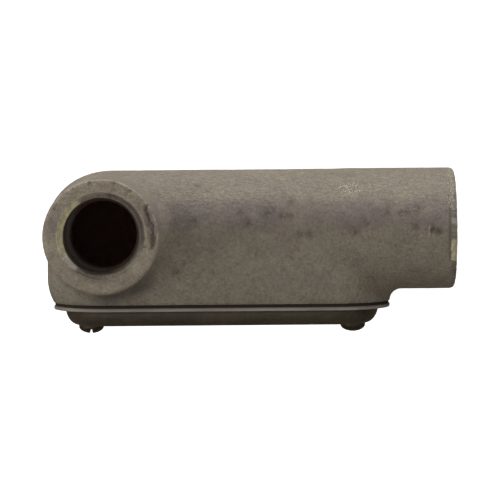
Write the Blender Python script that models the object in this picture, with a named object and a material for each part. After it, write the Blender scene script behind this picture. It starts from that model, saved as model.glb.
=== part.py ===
"""Threaded conduit body with a side hub: cast body, gasket, domed cover and two slotted cover screws.

Every piece is built round the crossing of the two hub axes. +X runs along the run hub, +Z along the side hub,
and the cover closes the -Y side. The empty at the end lays the part on its flat side with +Z up.
"""

import math

import bmesh
import bpy
from mathutils import Matrix, Vector

MM = 0.001

# Trough of the casting
BODY_RADIUS = 18.95 * MM  # round back, and half the width of the trough
COVER_FACE_DROP = 22.5 * MM  # from the hub axes down to the machined cover face
COVER_LENGTH = 106.0 * MM
COVER_WIDTH = 34.0 * MM
CLOSED_END_SHIFT = 0.12 * MM  # from the side hub's axis to the centre of the closed end's half round
TUCK_HEIGHT = 7.5 * MM  # height above the cover face over which the walls curve in
END_ROUND_START = 1.6 * MM  # where the straight back gives way to the rounded closed end
END_ROUND_HEIGHT = 17.5 * MM
WALL = 3.0 * MM
RIM_WIDTH = 3.75 * MM  # width of the cover face round the opening

# Hubs
RUN_HUB_FACE = 109.6 * MM  # from the side hub's axis
RUN_HUB_RADIUS = 19.1 * MM
RUN_HUB_EDGE = 1.1 * MM
RUN_HUB_BLEND = 6.0 * MM  # length over which the hub rises out of the trough's round back
RUN_HUB_ROOT_FILLET = 3.0 * MM
SIDE_HUB_FACE = 34.5 * MM  # from the run's axis
SIDE_HUB_RADIUS = 17.9 * MM
SIDE_HUB_EDGE = 0.8 * MM
SIDE_HUB_DRAFT = 0.012
SIDE_HUB_ROOT_FILLET = 5.0 * MM
SIDE_HUB_SHIFT_X = -0.4 * MM  # core shift: the boss stands a little off its own thread
SIDE_HUB_SHIFT_Y = -0.2 * MM

# Taper-threaded bore of each hub, at the thread's major radius, and its smooth integral bushing
THREAD_MOUTH_RADIUS = 13.3 * MM
THREAD_TAPER = 1 / 32  # fall of the radius along the thread
THREAD_DEPTH = 11.5 * MM
MOUTH_CHAMFER = 0.7 * MM
THROAT_RADIUS = 10.3 * MM
THROAT_LIP = 1.7 * MM
SHOULDER_STEP = 1.0 * MM

# Screw lugs inside the two ends of the opening
SCREW_INSET = 11.7 * MM  # from the tip of the cover to the screw
LUG_RADIUS = 4.6 * MM
LUG_HEIGHT = 9.5 * MM
TAPPED_HOLE_DEPTH = 7.2 * MM

# Gasket and cover
SEAT_GAP = 0.2 * MM  # clearance between faces that touch
GASKET_THICKNESS = 0.5 * MM
GASKET_INSET = 0.35 * MM
SHEET = 1.2 * MM  # thickness of the pressed cover
FLANGE_EDGE = 0.35 * MM
FLANGE_LEDGE = 3.6 * MM  # flat of the flange outside the dome
DOME_HEIGHT = 5.0 * MM
DOME_SHOULDER_RUN = 4.2 * MM
DOME_SHOULDER_RISE = 6.0 * MM
DOME_FOOT = 0.5 * MM  # concave fillet between flange and dome

# Round-head screws
SCREW_RADIUS = 2.08 * MM
SCREW_LENGTH = 12.7 * MM
SCREW_TIP_CHAMFER = 0.6 * MM
SCREW_CLEARANCE = 0.3 * MM  # round the shank, in the cover, the gasket and the lug
HEAD_RADIUS = 3.92 * MM
HEAD_HEIGHT = 2.6 * MM
HEAD_RIM = 0.45 * MM
SLOT_WIDTH = 1.15 * MM
SLOT_DEPTH = 1.4 * MM
LEFT_SLOT_TURN = math.radians(4)  # from the side hub's direction
RIGHT_SLOT_TURN = math.radians(76)

# Steps of the round forms
SHARP_ANGLE = math.radians(32)
QUARTER_CORNER = 1 - math.sqrt(0.5)  # share of a corner's radius that its middle point lies in from the corner
ROUND_STEPS = 48
BORE_STEPS = 48
SCREW_STEPS = 32
ARC_STEPS = 5
CUT_EXTRA = 1.5 * MM  # how far a cutter runs past the face that it cuts
BURY = 0.25 * MM  # how far a joined shape's edge lies under the surface that it meets
WELD_DISTANCE = 0.002 * MM
DRILL_TIP = 0.02 * MM
ROOM_STEP = 0.1 * MM  # step when measuring how much wall there is beside a hub
ROOT_FLOOR = 8.0 * MM  # a root fillet ends where the wall's own rounding falls below this height

HALF_WIDTH = COVER_WIDTH / 2
LEFT_CENTRE = CLOSED_END_SHIFT
RIGHT_CENTRE = LEFT_CENTRE + COVER_LENGTH - COVER_WIDTH
LEFT_SCREW_X = LEFT_CENTRE - HALF_WIDTH + SCREW_INSET
RIGHT_SCREW_X = RIGHT_CENTRE + HALF_WIDTH - SCREW_INSET
FLANGE_TOP = -(COVER_FACE_DROP + SEAT_GAP + GASKET_THICKNESS + SEAT_GAP)
DOME_BOTTOM = FLANGE_TOP - SHEET - DOME_HEIGHT
HEAD_SEAT = DOME_BOTTOM - SEAT_GAP
HOLE_RADIUS = SCREW_RADIUS + SCREW_CLEARANCE


class TroughForm:
    """The trough's outer form, or the cavity when inset by the wall: a stack of long rings with round ends."""

    def __init__(self, wall, rim):
        self.radius = BODY_RADIUS - wall
        self.rim_half_width = HALF_WIDTH - rim
        self.round_height = END_ROUND_HEIGHT - wall
        self.round_level = self.radius - self.round_height

    def tuck(self, y):
        """How far the wall has curved in at level y."""
        full = self.radius - self.rim_half_width
        start = COVER_FACE_DROP - TUCK_HEIGHT
        if full <= 0 or -y <= start:
            return 0.0
        arc = (TUCK_HEIGHT**2 + full**2) / (2 * full)
        down = min(-y, COVER_FACE_DROP) - start
        return arc - math.sqrt(arc**2 - down**2)

    def half_width(self, y):
        if y > 0:
            return math.sqrt(max(self.radius**2 - y**2, 0.0))
        return self.radius - self.tuck(y)

    def closed_tip(self, y):
        """X of the closed end at level y: an upright wall under a quarter ellipse."""
        wall_tip = LEFT_CENTRE - self.radius + self.tuck(y)
        if y <= self.round_level:
            return wall_tip
        share = min((y - self.round_level) / self.round_height, 1.0)
        return END_ROUND_START - (END_ROUND_START - wall_tip) * math.sqrt(1 - share**2)

    def ring(self, y):
        width = self.half_width(y)
        left = self.closed_tip(y) + width
        return long_ring(left, RIGHT_CENTRE, width, y)

    def levels(self):
        """Levels from the cover face to the top of the back."""
        tucked = [-COVER_FACE_DROP + TUCK_HEIGHT * i / ARC_STEPS for i in range(ARC_STEPS + 1)]
        quarter = ROUND_STEPS // 4
        rounded = [self.radius * math.sin(math.pi / 2 * i / quarter) for i in range(quarter)]
        return tucked + rounded

    def side_surface(self, x, y):
        """Height of the flat or rounded side over the point (x, y)."""
        width = self.half_width(y)
        left = self.closed_tip(y) + width
        beyond = max(left - x, x - RIGHT_CENTRE, 0.0)
        return math.sqrt(max(width**2 - beyond**2, 0.0))

    def end_surface(self, y, z):
        """X of the open end over the point (y, z)."""
        width = self.half_width(y)
        return RIGHT_CENTRE + math.sqrt(max(width**2 - z**2, 0.0))


def long_ring(left, right, radius, y):
    """A ring of two half rounds and two straights at level y, starting at the middle of the closed end."""
    half = ROUND_STEPS // 2
    points = []
    for centre, turn in ((right, -math.pi / 2), (left, math.pi / 2)):
        for i in range(half + 1):
            angle = turn + math.pi * i / half
            points.append(Vector((centre + radius * math.cos(angle), y, -radius * math.sin(angle))))
    return points


def circle(radius, height, steps):
    """A ring round +Z."""
    turn = 2 * math.pi / steps
    return [
        Vector((radius * math.cos(turn * i), radius * math.sin(turn * i), height)) for i in range(steps)
    ]


def skin(name, rings, closed_loop=False):
    """A closed mesh over a list of equal rings, capped at both ends, or joined end to end."""
    mesh = bmesh.new()
    rows = [[mesh.verts.new(point) for point in ring] for ring in rings]
    pairs = list(zip(rows, rows[1:]))
    if closed_loop:
        pairs.append((rows[-1], rows[0]))
    else:
        mesh.faces.new(rows[0])
        mesh.faces.new(reversed(rows[-1]))
    for lower, upper in pairs:
        for i in range(len(lower)):
            j = (i + 1) % len(lower)
            mesh.faces.new((lower[i], upper[i], upper[j], lower[j]))
    bmesh.ops.recalc_face_normals(mesh, faces=mesh.faces)
    return finish_mesh(name, mesh)


def finish_mesh(name, mesh):
    data = bpy.data.meshes.new(name)
    mesh.to_mesh(data)
    mesh.free()
    data.shade_smooth()
    data.set_sharp_from_angle(angle=SHARP_ANGLE)
    piece = bpy.data.objects.new(name, data)
    bpy.context.scene.collection.objects.link(piece)
    return piece


def turned(name, profile, steps):
    """A solid of revolution about +Z from (height, radius) pairs."""
    return skin(name, [circle(radius, height, steps) for height, radius in profile])


def helper(piece):
    """Marks a cutter or a joined shape, which is not a piece of its own."""
    piece.hide_render = True
    piece.display_type = "WIRE"
    return piece


def boolean(piece, other, operation):
    modifier = piece.modifiers.new(f"{operation.lower()} {other.name}", "BOOLEAN")
    modifier.operation = operation
    modifier.solver = "EXACT"
    modifier.object = helper(other)


def weld(piece):
    """Closes hairline cracks that a Boolean can leave along a long edge."""
    modifier = piece.modifiers.new("weld", "WELD")
    modifier.merge_threshold = WELD_DISTANCE


def place(piece, location=(0, 0, 0), axis="Z"):
    """Puts a piece that was made round +Z onto the run's axis, the side hub's axis or the cover's direction."""
    turns = {
        "Z": Matrix.Identity(4),
        "X": Matrix.Rotation(math.pi / 2, 4, "Y"),
        "-Y": Matrix.Rotation(math.pi / 2, 4, "X"),
    }
    piece.matrix_world = Matrix.Translation(location) @ turns[axis]
    return piece


def boss_profile(face, radius, edge, root):
    """A hub from the (height, radius) pairs of its buried root to its face, with a rounded outer edge."""
    profile = list(root)
    for i in range(ARC_STEPS + 1):
        angle = math.pi / 2 * i / ARC_STEPS
        profile.append((face - edge + edge * math.sin(angle), radius - edge + edge * math.cos(angle)))
    return profile


def bore_profile(face, inner_end):
    """Cutter for a threaded hub: chamfered mouth, taper at the major radius, shoulder and rounded throat."""
    thread_end = face - THREAD_DEPTH
    end_radius = THREAD_MOUTH_RADIUS - THREAD_TAPER * THREAD_DEPTH
    shoulder = end_radius - SHOULDER_STEP
    lip_start = thread_end - SHOULDER_STEP / 2
    profile = [
        (face + CUT_EXTRA, THREAD_MOUTH_RADIUS + MOUTH_CHAMFER + CUT_EXTRA),
        (face - MOUTH_CHAMFER, THREAD_MOUTH_RADIUS),
        (thread_end, end_radius),
        (lip_start, shoulder),
    ]
    for i in range(1, ARC_STEPS + 1):
        angle = math.pi / 2 * i / ARC_STEPS
        run = THROAT_LIP * (1 - math.cos(angle))
        fall = (shoulder - THROAT_RADIUS) * math.sin(angle)
        profile.append((lip_start - run, shoulder - fall))
    profile.append((inner_end, THROAT_RADIUS))
    return profile


def root_skirt(name, radius, fillet, room, surface, base):
    """A concave fillet round a hub, wherever the curved wall that it stands on reaches past it. room(angle) is how
    far the wall reaches, and surface(angle, distance) is the wall's height there."""
    turn = 2 * math.pi / ROUND_STEPS
    reaches = [min(fillet, room(turn * i)) - BURY for i in range(ROUND_STEPS)]
    has_room = [reach > 2 * BURY for reach in reaches]
    starts = [i for i in range(ROUND_STEPS) if has_room[i] and not has_room[i - 1]]
    first = starts[0] if starts else 0
    count = sum(has_room)
    inner = radius - fillet / 2
    flanks = []
    for i in range(first, first + count):
        angle, reach = turn * i, reaches[i % ROUND_STEPS]
        flank = [(inner, base), (inner, surface(angle, radius) + reach - BURY)]
        for step in range(ARC_STEPS + 1):
            share = step / ARC_STEPS
            distance = radius + reach * share
            rise = reach - math.sqrt(reach**2 - (reach * (1 - share)) ** 2)
            flank.append((distance, surface(angle, distance) + rise - BURY * share))
        flank.append((radius + reach, base))
        flanks.append(
            [Vector((distance * math.cos(angle), distance * math.sin(angle), height)) for distance, height in flank]
        )
    return skin(name, flanks, closed_loop=not starts)


def side_hub(outer):
    """The side hub's boss with its root fillet, standing on the trough's side along +Z."""
    shift = Vector((SIDE_HUB_SHIFT_X, SIDE_HUB_SHIFT_Y, 0))
    root_radius = SIDE_HUB_RADIUS + SIDE_HUB_DRAFT * SIDE_HUB_FACE
    profile = boss_profile(SIDE_HUB_FACE, SIDE_HUB_RADIUS, SIDE_HUB_EDGE, [(0.0, root_radius)])
    boss = place(turned("side_hub_boss", profile, ROUND_STEPS), shift)
    radius = root_radius - SIDE_HUB_DRAFT * BODY_RADIUS

    def point(angle, distance):
        return shift.x + distance * math.cos(angle), shift.y + distance * math.sin(angle)

    def inside(angle, distance):
        x, y = point(angle, distance)
        if not -COVER_FACE_DROP < y < BODY_RADIUS or x < outer.closed_tip(y):
            return False
        return outer.side_surface(x, y) > ROOT_FLOOR

    def room(angle):
        distance = radius
        while distance < radius + SIDE_HUB_ROOT_FILLET and inside(angle, distance + ROOM_STEP):
            distance += ROOM_STEP
        return distance - radius

    def surface(angle, distance):
        return outer.side_surface(*point(angle, distance))

    skirt = root_skirt("side_hub_root", radius, SIDE_HUB_ROOT_FILLET, room, surface, ROOT_FLOOR / 2)
    return boss, place(skirt, shift)


def run_hub(outer):
    """The run hub's boss with its root fillet, along +X from inside the trough."""
    radius = RUN_HUB_RADIUS
    root = [(RIGHT_CENTRE - RUN_HUB_BLEND, BODY_RADIUS - 2 * BURY), (RIGHT_CENTRE, radius)]
    profile = boss_profile(RUN_HUB_FACE, radius, RUN_HUB_EDGE, root)
    boss = place(turned("run_hub_boss", profile, ROUND_STEPS), axis="X")

    def point(angle, distance):
        """(y, z) of a polar point, where the ring about +Z has been turned onto +X."""
        return distance * math.sin(angle), -distance * math.cos(angle)

    def inside(angle, distance):
        y, z = point(angle, distance)
        return y > -COVER_FACE_DROP and outer.end_surface(y, z) > RIGHT_CENTRE + ROOT_FLOOR / 2

    def room(angle):
        distance = radius
        while distance < radius + RUN_HUB_ROOT_FILLET and inside(angle, distance + ROOM_STEP):
            distance += ROOM_STEP
        return distance - radius

    def surface(angle, distance):
        return outer.end_surface(*point(angle, distance))

    base = RIGHT_CENTRE - ROOT_FLOOR / 2
    skirt = root_skirt("run_hub_root", radius, RUN_HUB_ROOT_FILLET, room, surface, base)
    return boss, place(skirt, axis="X")


def lug(name, screw_x, outward, top, bottom, radius):
    """A screw lug: a half round about the screw, run out to past the end wall, between two levels."""
    far = outward * (SCREW_INSET + LUG_RADIUS)
    half = SCREW_STEPS // 2
    outline = [(far, radius), (far, -radius)]
    for i in range(half + 1):
        angle = math.pi * i / half - math.pi / 2
        outline.append((-outward * radius * math.cos(angle), radius * math.sin(angle)))
    rings = [[Vector((screw_x + x, y, z)) for x, z in outline] for y in (bottom, top)]
    return skin(name, rings)


def cavity():
    """The cored hollow: the trough's form inset by the wall, open past the cover face, less the two lugs."""
    inner = TroughForm(WALL, RIM_WIDTH)
    below = [Vector((p.x, p.y - CUT_EXTRA, p.z)) for p in inner.ring(-COVER_FACE_DROP)]
    core = skin("cavity_core", [below] + [inner.ring(y) for y in inner.levels()])
    top = -COVER_FACE_DROP + LUG_HEIGHT
    bottom = -COVER_FACE_DROP - 2 * CUT_EXTRA
    for name, screw_x, outward in (("left", LEFT_SCREW_X, -1), ("right", RIGHT_SCREW_X, 1)):
        boolean(core, lug(f"{name}_lug", screw_x, outward, top, bottom, LUG_RADIUS), "DIFFERENCE")
    return core


def hole_cutter(name, screw_x, low, high, point):
    """A round cutter along Y about a screw, with a drill point at its upper end."""
    profile = [(-high - point, DRILL_TIP), (-high, HOLE_RADIUS), (-low, HOLE_RADIUS)]
    return place(turned(name, profile, SCREW_STEPS), (screw_x, 0, 0), "-Y")


def cast_body():
    outer = TroughForm(0.0, 0.0)
    body = skin("body_casting", [outer.ring(y) for y in outer.levels()])
    for shape in (*run_hub(outer), *side_hub(outer)):
        boolean(body, shape, "UNION")
    weld(body)
    boolean(body, cavity(), "DIFFERENCE")
    weld(body)
    inner_radius = BODY_RADIUS - WALL
    side_bore = turned("side_bore", bore_profile(SIDE_HUB_FACE, inner_radius / 2), BORE_STEPS)
    boolean(body, side_bore, "DIFFERENCE")
    run_bore = turned("run_bore", bore_profile(RUN_HUB_FACE, RIGHT_CENTRE), BORE_STEPS)
    boolean(body, place(run_bore, axis="X"), "DIFFERENCE")
    low = -COVER_FACE_DROP - CUT_EXTRA
    high = -COVER_FACE_DROP + TAPPED_HOLE_DEPTH
    for name, screw_x in (("left", LEFT_SCREW_X), ("right", RIGHT_SCREW_X)):
        hole = hole_cutter(f"{name}_tapped_hole", screw_x, low, high, HOLE_RADIUS / 2)
        boolean(body, hole, "DIFFERENCE")
    weld(body)
    return body


def through_holes(piece, low, high):
    for name, screw_x in (("left", LEFT_SCREW_X), ("right", RIGHT_SCREW_X)):
        boolean(piece, hole_cutter(f"{piece.name}_{name}_hole", screw_x, low, high, 0.0), "DIFFERENCE")


def gasket():
    """A die-cut ring on the cover face, with a lobe over each screw lug."""
    top = -COVER_FACE_DROP - SEAT_GAP
    bottom = top - GASKET_THICKNESS
    sheet = skin(
        "gasket",
        [long_ring(LEFT_CENTRE, RIGHT_CENTRE, HALF_WIDTH - GASKET_INSET, y) for y in (bottom, top)],
    )
    window_radius = HALF_WIDTH - RIM_WIDTH + GASKET_INSET
    window = skin(
        "gasket_window",
        [
            long_ring(LEFT_CENTRE, RIGHT_CENTRE, window_radius, y)
            for y in (bottom - CUT_EXTRA, top + CUT_EXTRA)
        ],
    )
    for name, screw_x, outward in (("left", LEFT_SCREW_X, -1), ("right", RIGHT_SCREW_X, 1)):
        lobe = lug(
            f"{name}_lobe",
            screw_x,
            outward,
            top + 2 * CUT_EXTRA,
            bottom - 2 * CUT_EXTRA,
            LUG_RADIUS - GASKET_INSET,
        )
        boolean(window, lobe, "DIFFERENCE")
    boolean(sheet, window, "DIFFERENCE")
    through_holes(sheet, bottom - CUT_EXTRA, top + CUT_EXTRA)
    return sheet


def dome_shoulder(height_left):
    """(inset from the dome's foot, height above its bottom) along the elliptical shoulder."""
    last = math.acos(1 - height_left / DOME_SHOULDER_RISE)
    run = DOME_SHOULDER_RUN * math.sin(last)
    steps = 2 * ARC_STEPS
    return [
        (
            run - DOME_SHOULDER_RUN * math.sin(last * i / steps),
            DOME_SHOULDER_RISE * (1 - math.cos(last * i / steps)),
        )
        for i in range(steps + 1)
    ]


def cover():
    """A pressed cover: flat flange with a rolled edge, and a shallow dome of even thickness."""
    shoulder = dome_shoulder(DOME_HEIGHT)
    inner_foot = FLANGE_LEDGE + SHEET
    flange_bottom = FLANGE_TOP - SHEET
    corner = FLANGE_EDGE * QUARTER_CORNER
    foot = DOME_FOOT * QUARTER_CORNER
    profile = [(inner_foot + inset, DOME_BOTTOM + SHEET + rise) for inset, rise in shoulder]
    profile += [
        (FLANGE_EDGE, FLANGE_TOP),
        (corner, FLANGE_TOP - corner),
        (0.0, FLANGE_TOP - FLANGE_EDGE),
        (0.0, flange_bottom + FLANGE_EDGE),
        (corner, flange_bottom + corner),
        (FLANGE_EDGE, flange_bottom),
        (FLANGE_LEDGE - DOME_FOOT, flange_bottom),
        (FLANGE_LEDGE - foot, flange_bottom - foot),
    ]
    outside = [(FLANGE_LEDGE + inset, DOME_BOTTOM + rise) for inset, rise in reversed(shoulder)]
    profile += [(inset, y) for inset, y in outside if y < flange_bottom - 2 * foot]
    rings = [long_ring(LEFT_CENTRE, RIGHT_CENTRE, HALF_WIDTH - inset, y) for inset, y in profile]
    pressed = skin("cover", rings)
    through_holes(pressed, DOME_BOTTOM - CUT_EXTRA, FLANGE_TOP)
    return pressed


def screw(name, screw_x, slot_turn):
    """A slotted round-head screw. Its own +Z runs out of the head, and its origin is on its axis at the seat."""
    profile = [
        (-SCREW_LENGTH, SCREW_RADIUS - SCREW_TIP_CHAMFER),
        (-SCREW_LENGTH + SCREW_TIP_CHAMFER, SCREW_RADIUS),
        (0.0, SCREW_RADIUS),
        (0.0, HEAD_RADIUS),
        (HEAD_RIM, HEAD_RADIUS),
    ]
    crown = HEAD_HEIGHT - HEAD_RIM
    steps = 2 * ARC_STEPS
    for i in range(1, steps):
        angle = math.pi / 2 * i / steps
        profile.append((HEAD_RIM + crown * math.sin(angle), HEAD_RADIUS * math.cos(angle)))
    piece = turned(name, profile, SCREW_STEPS)
    slot_bottom = HEAD_HEIGHT - SLOT_DEPTH
    reach = HEAD_RADIUS + CUT_EXTRA
    corners = [(SLOT_WIDTH / 2, slot_bottom), (SLOT_WIDTH / 2, HEAD_HEIGHT + CUT_EXTRA)]
    outline = corners + [(-x, z) for x, z in reversed(corners)]
    slot = skin(f"{name}_slot", [[Vector((x, y, z)) for x, z in outline] for y in (-reach, reach)])
    slot.data.transform(Matrix.Rotation(slot_turn, 4, "Z"))
    boolean(piece, slot, "DIFFERENCE")
    for shape in (piece, slot):
        place(shape, (screw_x, HEAD_SEAT, 0), "-Y")
    return piece


def material(name, colour, metallic, roughness):
    made = bpy.data.materials.new(name)
    made.use_nodes = True
    shader = made.node_tree.nodes["Principled BSDF"]
    shader.inputs["Base Color"].default_value = (*colour, 1.0)
    shader.inputs["Metallic"].default_value = metallic
    shader.inputs["Roughness"].default_value = roughness
    made.diffuse_color = (*colour, 1.0)
    return made


def lay_down(pieces):
    """Parents every piece and helper to an empty at the hub axes' crossing, which puts the part's own origin at
    the middle of its underside."""
    left = LEFT_CENTRE - BODY_RADIUS
    lowest_y = HEAD_SEAT - HEAD_HEIGHT
    crossing = bpy.data.objects.new("hub_axes_crossing", None)
    bpy.context.scene.collection.objects.link(crossing)
    crossing.location = (
        -(left + RUN_HUB_FACE) / 2,
        -(lowest_y + RUN_HUB_RADIUS) / 2,
        RUN_HUB_RADIUS,
    )
    for piece in pieces:
        piece.parent = crossing


def main():
    for old in list(bpy.data.objects):
        bpy.data.objects.remove(old)
    enamel = (0.20, 0.18, 0.15)
    finishes = {
        "body_casting": material("grey_enamel_on_iron", enamel, 0.3, 0.55),
        "cover": material("grey_enamel_on_steel", enamel, 0.3, 0.45),
        "gasket": material("black_rubber", (0.02, 0.02, 0.02), 0.0, 0.8),
        "screw": material("dull_plated_steel", (0.16, 0.14, 0.12), 0.8, 0.45),
    }
    pieces = {
        "body_casting": [cast_body()],
        "gasket": [gasket()],
        "cover": [cover()],
        "screw": [
            screw("left_cover_screw", LEFT_SCREW_X, LEFT_SLOT_TURN),
            screw("right_cover_screw", RIGHT_SCREW_X, RIGHT_SLOT_TURN),
        ],
    }
    for kind, made in pieces.items():
        for piece in made:
            piece.data.materials.append(finishes[kind])
    lay_down([piece for piece in bpy.data.objects if piece.type == "MESH"])


main()
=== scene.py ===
"""Looks of the threaded conduit body: a sand-cast body in worn grey enamel, its pressed cover, gasket and screws.

The casting is made again from a distance field, which gives it the soft fillets and slightly uneven walls of a
casting, and then machined: cover face, bores with real threads, and tapped holes. Shapes are worked out in
millimetres from the crossing of the two hub axes, with x along the run hub, y towards the rounded back and z
along the side hub.
"""

import math

import bmesh
import bpy
import numpy as np
import openvdb
from mathutils import Matrix, Vector, noise


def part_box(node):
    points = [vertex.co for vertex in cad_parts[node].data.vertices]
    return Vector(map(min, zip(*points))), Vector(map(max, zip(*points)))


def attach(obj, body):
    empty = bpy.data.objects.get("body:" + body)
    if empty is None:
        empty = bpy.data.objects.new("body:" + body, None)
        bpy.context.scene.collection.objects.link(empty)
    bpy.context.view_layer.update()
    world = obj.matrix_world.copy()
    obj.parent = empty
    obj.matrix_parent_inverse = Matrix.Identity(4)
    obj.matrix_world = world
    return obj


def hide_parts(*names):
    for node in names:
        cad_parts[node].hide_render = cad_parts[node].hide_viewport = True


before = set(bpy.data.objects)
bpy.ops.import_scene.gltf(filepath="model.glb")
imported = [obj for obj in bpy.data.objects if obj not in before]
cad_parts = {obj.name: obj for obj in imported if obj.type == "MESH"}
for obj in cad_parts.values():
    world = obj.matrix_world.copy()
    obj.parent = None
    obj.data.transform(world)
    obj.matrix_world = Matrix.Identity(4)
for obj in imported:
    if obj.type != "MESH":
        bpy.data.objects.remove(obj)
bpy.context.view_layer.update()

MM = 0.001

# The casting's form, in millimetres
BODY_RADIUS = 18.95
COVER_FACE = -22.5
LEFT_CENTRE = 0.12
RIGHT_CENTRE = 72.12
RIM_HALF_WIDTH = 17.0
TUCK_HEIGHT = 7.5
END_ROUND_START = 1.6
END_ROUND_HEIGHT = 17.5
WALL = 3.0
RIM_WIDTH = 3.75
RUN_HUB_FACE = 109.6
RUN_HUB_RADIUS = 19.1
RUN_HUB_EDGE = 1.5
RUN_HUB_FILLET = 3.6
RUN_HUB_BLEND = 12.0
RUN_HUB_SLIMMING = 0.4
RUN_HUB_SLIM_END = RIGHT_CENTRE + 3.0
SIDE_HUB_FACE = 34.5
SIDE_HUB_RADIUS = 17.9
SIDE_HUB_DRAFT = 0.012
SIDE_HUB_EDGE = 1.3
SIDE_HUB_FILLET = 5.0
SIDE_HUB_SHIFT = (-0.4, -0.2)
LUG_RADIUS = 4.6
LUG_HEIGHT = 9.5
LUG_FILLET = 1.5
TAPPED_DEPTH = 7.2
TAP_CLEARANCE = 0.3
TAP_SIDES = 24
CUT_BOX = ((-30, -30, -30), (120, COVER_FACE, 30))

# The hubs' bores, with a taper pipe thread, in millimetres
PIPE_PITCH = 1.814
PIPE_DEPTH = 1.45
PIPE_MAJOR_RADIUS = 13.15
PIPE_TAPER = 1 / 32
PIPE_LENGTH = 11.5
MOUTH_RADIUS = 13.4
MOUTH_SLOPE = 0.9
THROAT_RADIUS = 10.3
THROAT_LIP = 1.7
THROAT_LIP_SHARES = (0.0, 0.04, 0.12, 0.25, 0.42, 0.65, 1.0)
THREAD_SHIFT = (-0.35, 0.1)
SIDE_BORE_END = 8.0
RUN_BORE_END = RIGHT_CENTRE + 4.0
BORE_SIDES = 96

# Cover, gasket and screws, in millimetres
COVER_FLANGE_FACE = -24.7
SEAM_CLEARANCE = 0.18
SCREW_X = (-5.18, 77.42)
SCREW_SEAT = -29.8
SCREW_PITCH = 0.794
SCREW_DEPTH = 0.45
SCREW_RADIUS = 2.08
SCREW_LENGTH = 12.7
SCREW_POINT = 0.8
SCREW_POINT_SHARE = 0.35
HEAD_RADIUS = 3.92
HEAD_HEIGHT = 2.6
HEAD_RIM = 0.45
HEAD_UNDERCUT = 0.06
HEAD_STEPS = 16
SCREW_SIDES = 48
SLOT_HALF_WIDTH = 0.575
SLOT_HALF_LENGTH = 6.0
SLOT_FLOOR = 1.2
SLOT_TOP = 5.0
SLOT_TURNS = (math.radians(4), math.radians(76))

# Grids of the distance fields, in millimetres
OUTER_STEP = 0.67
OUTER_BOX = ((-21.0, -24.6, -20.8), (111.4, 20.8, 36.2))
CHAMBER_STEP = 1.0
CHAMBER_BOX = ((-18.0, -26.0, -18.0), (92.0, 18.0, 18.0))
FIELD_BAND = 3.0

# Angles in degrees above which an edge is shaded sharp
SHARP_CASTING = 38
SHARP_SCREW = 30
SHARP_SHEET = 35

# Where flaws of the upper side begin and are full along z, in millimetres
UPPER_SIDE = (8, 12)

# The casting's skin: size, height and noise offset of its slow waves and its small ones, in millimetres
SKIN_WAVES = ((7.0, 0.07, 0.0), (1.9, 0.03, 5.0))
SKIN_SET_BACK = 0.03

# Dents in the upper side: x, y, radius and depth in millimetres
DENTS = (
    (103.5, -0.1, 1.05, 0.5),
    (101.8, 0.5, 0.7, 0.35),
    (-3.5, 16.35, 0.6, 0.2),
    (3.9, 16.2, 0.65, 0.22),
    (8.8, 13.9, 0.5, 0.15),
    (-14.4, 8.7, 0.45, 0.25),
)
# Raised burrs round the crater near the run hub: x and y of both ends, and the height, in millimetres
BURRS = (
    (101.0, 1.5, 100.6, 0.4, 0.16),
    (100.6, 0.1, 100.9, -1.5, 0.22),
    (102.7, 1.3, 102.9, 0.7, 0.14),
    (104.6, 0.1, 105.2, -0.3, 0.18),
)
BURR_WIDTH = 0.33
# Brown stains on the upper side: x, y and radius in millimetres
STAINS = (
    (97.3, 7.1, 1.3), (93.6, 5.9, 1.1), (91.9, 5.5, 0.9), (87.7, 5.7, 1.0), (96.6, 1.6, 0.9), (81.4, 2.7, 1.0),
    (77.7, -0.1, 1.2), (60.7, -0.6, 0.9), (63.4, -0.6, 1.0), (55.4, 5.3, 1.2), (57.8, 5.2, 0.9), (58.0, 9.3, 1.0),
    (50.3, 5.6, 1.6), (51.8, 7.0, 1.1), (44.3, 3.0, 1.3), (42.4, 6.6, 1.0), (27.9, 4.0, 1.0), (28.8, 14.3, 0.8),
    (22.1, -12.0, 1.2), (103.7, 0.0, 1.1), (101.7, 0.5, 0.8), (82.6, 17.6, 0.9), (66.0, 17.6, 0.9),
)
STAIN_SPREAD = 1.2
# A patch of pale flecks on the rounded back: x, y, and half its length and width, in millimetres
FLECK_PATCH = (76.4, 13.2, 3.9, 1.9)

# The knocked edge of the side hub's face: middle and half span in degrees, depth and radius in millimetres
CHIP_MIDDLE = 10.0
CHIP_HALF = 26.0
CHIP_DEPTH = 0.8
CHIP_RADIUS = 16.2
TORN_WIDTH = 0.27
TORN_DEPTH = 0.15
LIP_RAGGEDNESS = 0.22

# The run hub's rim: where its wear, patches and flecks begin and are full along x, in millimetres
RIM_WORN = (107.0, 107.6)
RIM_PATCHED = (107.4, 107.8)
RIM_FLECKED = (106.6, 107.2)
RIM_WEAR_DEPTH = 0.08
RIM_PATCH_RADII = (16.9, 17.7)
RIM_FLECK_RADII = (17.0, 17.8)
RUN_FACE_RADIUS = 18.3
# The fine groove behind the rim, in millimetres: its x, depth and width, and where it begins along y. Then its
# dirt's width, and where that begins and ends
RIM_GROOVE = 107.2
RIM_GROOVE_DEPTH = 0.16
RIM_GROOVE_WIDTH = 0.35
RIM_GROOVE_START = (-11, -8)
RIM_DIRT_WIDTH = 0.4
RIM_DIRT_START = (-10, -8)
RIM_DIRT_END = (14, 10)
# Patches of the rim: y and half height in millimetres, and bare metal from 0 to 1 or, below 0, brown dirt
RIM_PATCHES = (
    (2.7, 1.9, 1.0), (-5.7, 3.7, 1.0), (8.2, 1.6, 0.6), (11.2, 1.2, -0.5), (14.6, 3.0, 0.55), (-0.8, 1.4, 0.45),
    (5.4, 1.2, -0.6), (-2.3, 0.9, -0.6), (-11.5, 2.4, -0.45),
)

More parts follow.
